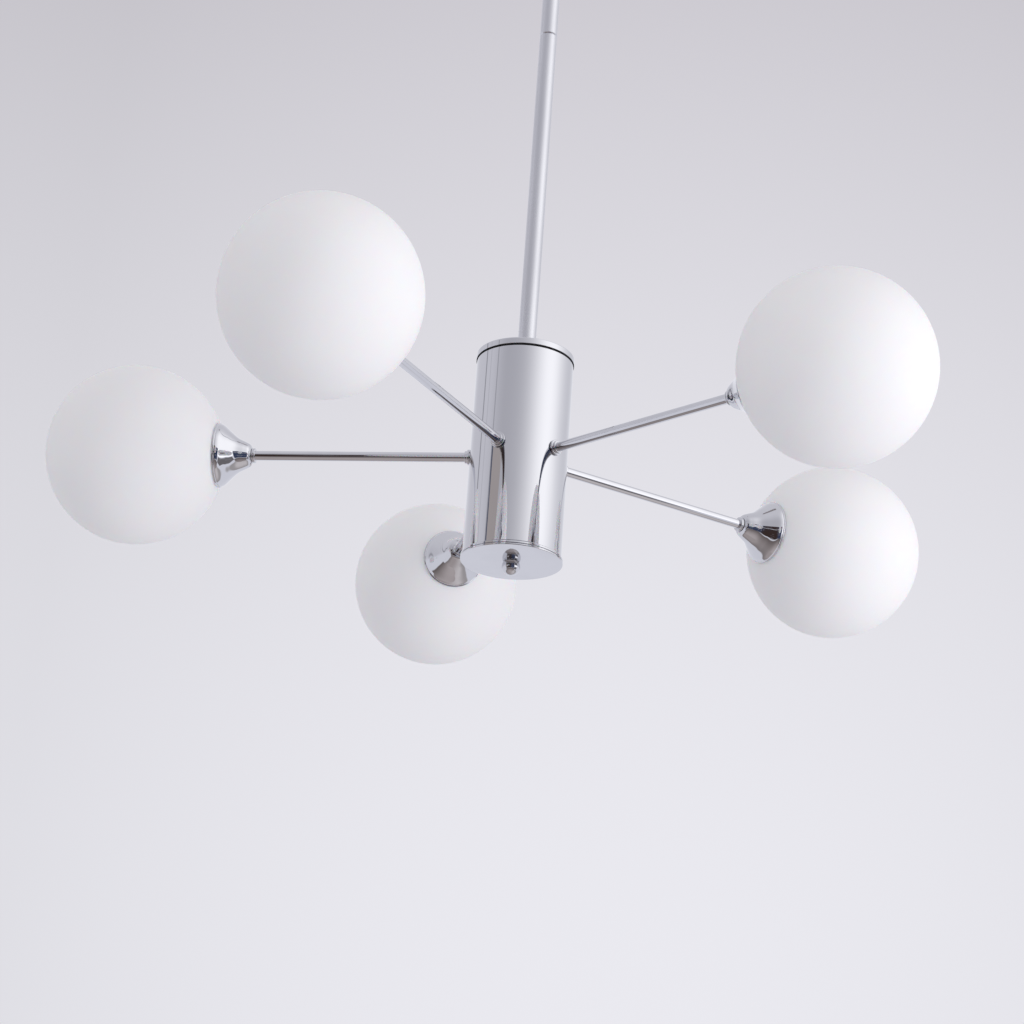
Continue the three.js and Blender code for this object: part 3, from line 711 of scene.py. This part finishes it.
def tongueShells():
    seat, bore, shank, collar = stem["top"], swivel["wireHole"], swivel["shank"], swivel["collar"]
    top, low, half = seat + 3.5, seat - 12, swivel["tongueHalf"]
    body = rounded([(bore, low, 0.2), (shank, low, 0.3), (shank, seat, 0), (collar, seat, 0.3),
                    (collar, top, 1.2), (bore, top, 0.3)])
    return (turned(body, 96, standing()),
            earPlate(swivel["tongue"], top - swivel["pivot"], -half, half, 0.5))


def pivotScrew():
    # Shank and domed head on one side with a driver slot; the plain shank stands out on the other.
    ear, pin, head, pivot = (swivel[key] for key in ("half", "pin", "head", "pivot"))
    place = (np.array([[1.0, 0, 0], [0, 0, -1], [0, 1, 0]]).T, np.array([0, 0, pivot]))
    screw = rounded([(0, -ear - 3.8, 0), (pin, -ear - 3.8, 0.4), (pin, ear + 0.3, 0), (head, ear + 0.3, 0.2),
                     (head - 0.4, ear + 1.6, 0.6), (0, ear + 2.7, 0)], 4)
    piece = makePiece("pivotScrew", turned(screw, 64, place))
    points, quads = turned([(0, ear + 1.5), (1, ear + 1.5), (1, ear + 4), (0, ear + 4)], 4, place)
    slot = np.column_stack([points[:, 0] * 8, points[:, 1], (points[:, 2] - pivot) * 0.55 + pivot])
    return drilled(piece, (slot, quads), sharp=30)


dress(makePiece("swivelFork", *forkShells()), "swivel_head", "chrome", "swivel_fork")
dress(pivotScrew(), "swivel_head", "chrome", "swivel_screw")
dress(makePiece("swivelTongue", *tongueShells()), "stem", "chrome", "swivel_tongue")
print("stem and swivel made")


# Canopy: a spun dish, its two ball nuts, and what it hides.
canopy = {"radius": 60.0, "depth": 32.0, "wall": 1.0, "corner": 6.0, "spread": 40.0, "sides": 160}
canopyNut = {"radius": 5.5, "seat": 2.8, "hole": 2.1, "depth": 7.6, "sides": 72}
canopyScrew = {"shank": 1.95, "head": 3.6, "top": -1.9, "under": -4.5, "end": -39.0, "sides": 56}


def canopyDish():
    r, depth, wall, corner = canopy["radius"], canopy["depth"], canopy["wall"], canopy["corner"]
    line = np.vstack([
        bend((5.3, 0.3 - depth), (5.3, -depth), (5.6, -depth), 3),
        arc(r - corner, corner - depth, corner, -90, 0, 14),
        bend((r, -1.0), (r, -0.6), (r - 0.4, -0.6), 4),
        bend((r - 0.6, -0.6), (r - wall, -0.6), (r - wall, -1.0), 4),
        arc(r - corner, corner - depth, corner - wall, 0, -90, 12),
        bend((5.6, wall - depth), (5.3, wall - depth), (5.3, wall - depth - 0.3), 3)])
    piece = makePiece("canopyDish", turned(line, canopy["sides"], standing()))
    return drilled(piece, *(peg(2.3, -depth - 2, 3 - depth, standing(0, x))
                            for x in (canopy["spread"], -canopy["spread"])))


def screwShell(x):
    # A pan head and a plain shank with a broken end.
    shank, head, top, under, end = (canopyScrew[key] for key in ("shank", "head", "top", "under", "end"))
    corners = [(0, top, 0), (2.2, top - 0.1, 0.4), (head - 0.1, -3.0, 0.3), (head, under, 0),
               (shank, under, 0.2), (shank, end, 0.4), (0, end, 0)]
    return turned(rounded(corners, 4), canopyScrew["sides"], standing(0, x))


dress(canopyDish(), "ceiling", "chrome", "canopy")
for number, side in ((1, -1), (2, 1)):
    x = side * canopy["spread"]
    nut = makePiece(f"canopyNut{number}",
                    ballNut(canopyNut, standing(-canopy["depth"] - canopyNut["seat"], x)))
    screw = makePiece(f"canopyScrew{number}", screwShell(x))
    dress(nut, "ceiling", "chrome", f"canopy_ball_nut_{number}")
    dress(screw, "ceiling", "zinc_steel", f"canopy_screw_{number}")
dress(refined("ceiling_bracket", "bracketStrip", 0.25), "ceiling", "zinc_steel", "ceiling_bracket")
dress(refined("swivel_nut", "nippleNut", 0.3), "ceiling", "zinc_steel", "swivel_nut")
print("canopy made")


# The other CAD solids stay as they are, and take their slot's finish.
slotOf = {part["node"]: part["material_slot"] for part in frame["record"]["subparts"]}
for name, node in frame["nodes"].items():
    node.data.materials.clear()
    node.data.materials.append(finishes[slotOf[name]])
print("carried-over solids finished:", sum(not node.hide_render for node in frame["nodes"].values()))


# Camera: what the photograph shows, from below and in front.
view = {"place": (-0.3487, -1.9307, -1.5938), "yaw": 10.171, "pitch": 21.232, "roll": 4.078, "lens": 90.86}


def setCamera():
    yaw, pitch, roll = (math.radians(view[k]) for k in ("yaw", "pitch", "roll"))
    ahead = np.array([math.sin(yaw) * math.cos(pitch), math.cos(yaw) * math.cos(pitch), math.sin(pitch)])
    right = np.array([math.cos(yaw), -math.sin(yaw), 0])
    down = np.cross(ahead, right)
    spin = np.array([[math.cos(roll), -math.sin(roll), 0], [math.sin(roll), math.cos(roll), 0], [0, 0, 1]])
    rows = spin @ np.array([right, down, ahead])
    turn = np.eye(4)
    turn[:3, :3] = np.column_stack([rows[0], -rows[1], -rows[2]])
    turn[:3, 3] = view["place"]
    camera = bpy.data.objects.new("camera", bpy.data.cameras.new("camera"))
    bpy.context.scene.collection.objects.link(camera)
    camera.matrix_world = Matrix(turn.tolist())
    camera.data.lens, camera.data.sensor_width = view["lens"], 36.0
    camera.data.clip_start, camera.data.clip_end = 0.05, 200
    bpy.context.scene.camera = camera


# Studio: grey walls with a bright opening on the right, white paper swept up all round, a brown floor
# below it and a dark room on the camera's side. psi turns to the right from the direction that looks back
# at the camera, rise is the height above the horizon; both are in degrees.
studio = {
    "backdrop": (0.822, 0.818, 0.868), "backdropHigh": (0.615, 0.598, 0.645), "fallFrom": 0.18,
    "fallOver": 0.36, "leftWall": (0.52, 0.52, 0.57), "farLeftWall": (0.69, 0.69, 0.75),
    "rightWall": (0.73, 0.735, 0.79), "farWall": (0.85, 0.86, 0.92), "zenith": (0.71, 0.71, 0.765),
    "seams": ((-105.5, -102.5, 0.8), (-90, -88.5, 0.35), (-69, -67, 0.65)), "seam": (0.24, 0.24, 0.27),
    "bright": (1.31, 1.31, 1.34), "brightAt": 65.0, "leftOf": 33.0, "rightOf": 27.0,
    "paper": (0.79, 0.80, 0.875), "floorLeft": (0.42, 0.375, 0.375), "floorRight": (0.71, 0.675, 0.685),
    "roomFloor": (0.50, 0.45, 0.45), "roomDark": (0.05, 0.033, 0.03), "even": (0.765, 0.744, 0.772)}


def setWorld():
    world = bpy.data.worlds.new("studio")
    bpy.context.scene.world = world
    world.use_nodes = True
    world.cycles.sampling_method = "NONE"
    bench = Bench(world.node_tree)
    direction = bench.node("ShaderNodeTexCoord", output="Generated")
    aimed = bench.node("ShaderNodeVectorRotate", {"rotation_type": "Z_AXIS"},
                       {"Vector": direction, "Angle": math.radians(view["yaw"])})
    right = bench.node("ShaderNodeSeparateXYZ", {}, {0: aimed})
    ahead, up = (Flow(bench, right.socket.node.outputs[k]) for k in (1, 2))
    psi = right.maths("ARCTAN2", right, -ahead) * (180 / math.pi)
    rise = up.maths("ARCSINE", up) * (180 / math.pi)

    def patch(start, end, low, high, soft):
        # 1 inside the four sides, falling to 0 across a soft edge.
        across = psi.between(start - soft, start + soft) * psi.between(end + soft, end - soft)
        return across * (rise - low).between(-soft, soft) * (rise - high).between(soft, -soft)

    # What the camera sees: paler low down, and a little darker to the left.
    fall = ((up - studio["fallFrom"]) / studio["fallOver"]).clipped(0, 1)
    turn = (right.maths("ARCTAN2", right, ahead) * (180 / math.pi) - 3.4).clipped(-14, 14)
    backdrop = bench.mix(fall * fall, studio["backdrop"], studio["backdropHigh"])
    shown = bench.node("ShaderNodeVectorMath", {"operation": "SCALE"},
                       {0: backdrop, "Scale": 1 - 0.000506 * turn * turn})

    # Walls and the glow of the opening.
    wall = bench.mix(psi.between(-10, 110), studio["leftWall"], studio["rightWall"])
    wall = bench.mix(psi.between(-40, -90), wall, studio["farLeftWall"])
    wall = bench.mix(abs(psi).between(130, 178), wall, studio["farWall"])
    seams = sum(patch(start, end, 5, 60, 1) * depth for start, end, depth in studio["seams"])
    upper = bench.mix(rise.between(25, 60), bench.mix(seams, wall, studio["seam"]), studio["zenith"])
    apart = psi - studio["brightAt"]
    apart = apart / apart.between(-4, 4, studio["leftOf"], studio["rightOf"])
    glow = math.e ** (apart * apart * -0.5) * rise.between(80, 40)
    upper = bench.mix(glow, upper, studio["bright"])

    # Paper round the horizon and the floor under it.
    floor = bench.mix(right.between(-0.3, 0.7), studio["floorLeft"], studio["floorRight"])
    floor = bench.mix(rise.between(-62, -40) * 0.4, floor, (0, 0, 0))
    edge = psi.between(70, 95) * psi.between(155, 130) * 8 - 41.5
    lower = bench.mix((rise - edge).between(2, -2), studio["paper"], floor)
    around = bench.mix(rise.between(14, -2), upper, lower)

    # The room behind the camera.
    roomFloor = bench.mix(rise.between(-10, -80), studio["roomDark"], studio["roomFloor"])
    around = bench.mix(patch(-74, 59, -120, -31, 2), around, roomFloor)

    # Even light for matt surfaces, these surroundings for mirrors, the backdrop for the camera.
    matt = bench.node("ShaderNodeLightPath", output="Is Diffuse Ray")
    seen = bench.node("ShaderNodeLightPath", output="Is Camera Ray")
    colour = bench.mix(seen, bench.mix(matt, around, studio["even"]), shown)
    light = bench.node("ShaderNodeBackground", {}, {"Color": colour})
    bench.node("ShaderNodeOutputWorld", {}, {"Surface": light})


# Cards curved round the lamp that only the mirrors see; the room's top edge drops from the left to the right.
cards = {
    "room": {"sides": (-38, 43), "low": -34, "high": 14.5, "drop": 3, "far": 0.9, "soft": 1.5,
             "colours": ((0.05, 0.033, 0.03), (0.045, 0.06, 0.115)), "clutter": 0.5},
    "door": {"sides": (-63, -41), "low": -14, "high": 22.5, "drop": 0, "far": 0.88, "soft": 0.6,
             "colours": ((0.44, 0.40, 0.395),), "clutter": 0.2},
    "jamb": {"sides": (-66, -62.5), "low": -14, "high": 22.5, "drop": 0, "far": 0.88, "soft": 0.6,
             "colours": ((0.10, 0.11, 0.16),), "clutter": 0},
    "shade": {"sides": (-64, -36), "low": -34, "high": -13, "drop": 0, "far": 0.89, "soft": 2,
              "colours": ((0.09, 0.075, 0.07),), "clutter": 0.3},
    "bench": {"sides": (44, 84), "low": -42, "high": -18, "drop": 0, "far": 0.48, "soft": 3,
              "colours": ((0.18, 0.17, 0.18),), "clutter": 0.3},
    "window": {"sides": (43, 80), "low": -16, "high": 13, "drop": 0, "far": 0.94, "soft": 4,
               "colours": ((1.46, 1.46, 1.5),), "clutter": 0}}


def cardPaint(bench, card):
    split = bench.node("ShaderNodeSeparateXYZ", {}, {0: bench.where()}).socket.node.outputs
    x, y, z = (Flow(bench, socket) for socket in split)
    psi = x.maths("ARCTAN2", x, -y) * (180 / math.pi)
    rise = z.maths("ARCTANGENT", z / card["far"]) * (180 / math.pi)
    top = card["high"] - card["drop"] * ((psi + 14) / 20).clipped(0, 1)
    soft = card["soft"]
    start, end = card["sides"]
    alpha = (psi - start).between(0, soft) * (end - psi).between(0, soft)
    alpha = alpha * (rise - card["low"]).between(0, soft) * (top - rise).between(0, soft)
    colour = bench.mix(psi.between(-15, 15), card["colours"][0], card["colours"][-1])
    clutter = bench.noise(bench.where(), 8, 3).between(0.55, 0.72)
    colour = bench.mix(clutter * card["clutter"], colour, (0.40, 0.40, 0.45))
    return {"Base Color": (0, 0, 0), "Specular IOR Level": 0.0, "Emission Color": colour,
            "Emission Strength": 1.0, "Alpha": alpha}


def setCards():
    for name, card in cards.items():
        psi = np.linspace(*card["sides"], 33)
        top = card["high"] - card["drop"] * np.clip((psi + 14) / 20, 0, 1)
        turn = np.radians(psi)
        rows = [np.column_stack([np.sin(turn), -np.cos(turn), np.tan(np.radians(level))]) * card["far"]
                for level in (np.full(psi.size, card["low"]), top)]
        corner = np.arange(psi.size - 1)
        faces = np.column_stack([corner, corner + 1, corner + 1 + psi.size, corner + psi.size])
        mesh = bpy.data.meshes.new(name)
        mesh.from_pydata(np.vstack(rows).tolist(), [], faces.tolist())
        paint = newMaterial(name + "Card", lambda bench: cardPaint(bench, card))
        paint.cycles.emission_sampling = "NONE"
        mesh.materials.append(paint)
        made = bpy.data.objects.new(name, mesh)
        bpy.context.scene.collection.objects.link(made)
        made.location = (0, 0, hub["height"] * mm)
        made.rotation_euler = (0, 0, -math.radians(view["yaw"]))
        made.visible_camera = made.visible_diffuse = made.visible_shadow = made.visible_transmission = False


# Soft discs on the right and behind, which only the matt surfaces see. turn is measured to the right of the
# camera's heading and lift above the horizon, in degrees.
lamps = {"key": {"turn": 115, "lift": -3, "power": 8.2},
         "low": {"turn": 110, "lift": -30, "power": 14.6},
         "front": {"turn": 150, "lift": -10, "power": 5.4}}
disc = {"far": 2.6, "size": 1.4, "colour": (1.0, 0.985, 1.0), "aim": (0, 0, -0.7)}


def setLamps():
    for name, lamp in lamps.items():
        turn, lift = math.radians(view["yaw"] + lamp["turn"]), math.radians(lamp["lift"])
        away = Vector((math.sin(turn) * math.cos(lift), math.cos(turn) * math.cos(lift), math.sin(lift)))
        data = bpy.data.lights.new(name, "AREA")
        data.shape, data.size = "DISK", disc["size"]
        data.energy, data.color = lamp["power"], disc["colour"]
        light = bpy.data.objects.new(name, data)
        bpy.context.scene.collection.objects.link(light)
        light.location = Vector(disc["aim"]) + away * disc["far"]
        light.rotation_mode = "QUATERNION"
        light.rotation_quaternion = away.to_track_quat("Z", "Y")
        light.visible_camera = light.visible_glossy = False


def setFloor():
    half, low = 40.0, -4.2
    mesh = bpy.data.meshes.new("floor")
    mesh.from_pydata([(-half, -half, low), (half, -half, low), (half, half, low), (-half, half, low)], [],
                     [(0, 1, 2, 3)])
    floor = bpy.data.objects.new("floor", mesh)
    bpy.context.scene.collection.objects.link(floor)

    def paint(bench):
        dust = bench.noise(bench.where(), 0.7, 3)
        return {"Base Color": bench.mix(dust, (0.80, 0.80, 0.82), (0.77, 0.77, 0.79)), "Roughness": 0.8}

    mesh.materials.append(newMaterial("paleFloor", paint))
    floor.visible_glossy = False


setCamera()
setWorld()
setLamps()
setCards()
setFloor()
bpy.context.scene.view_settings.view_transform = "Standard"
print("studio set")
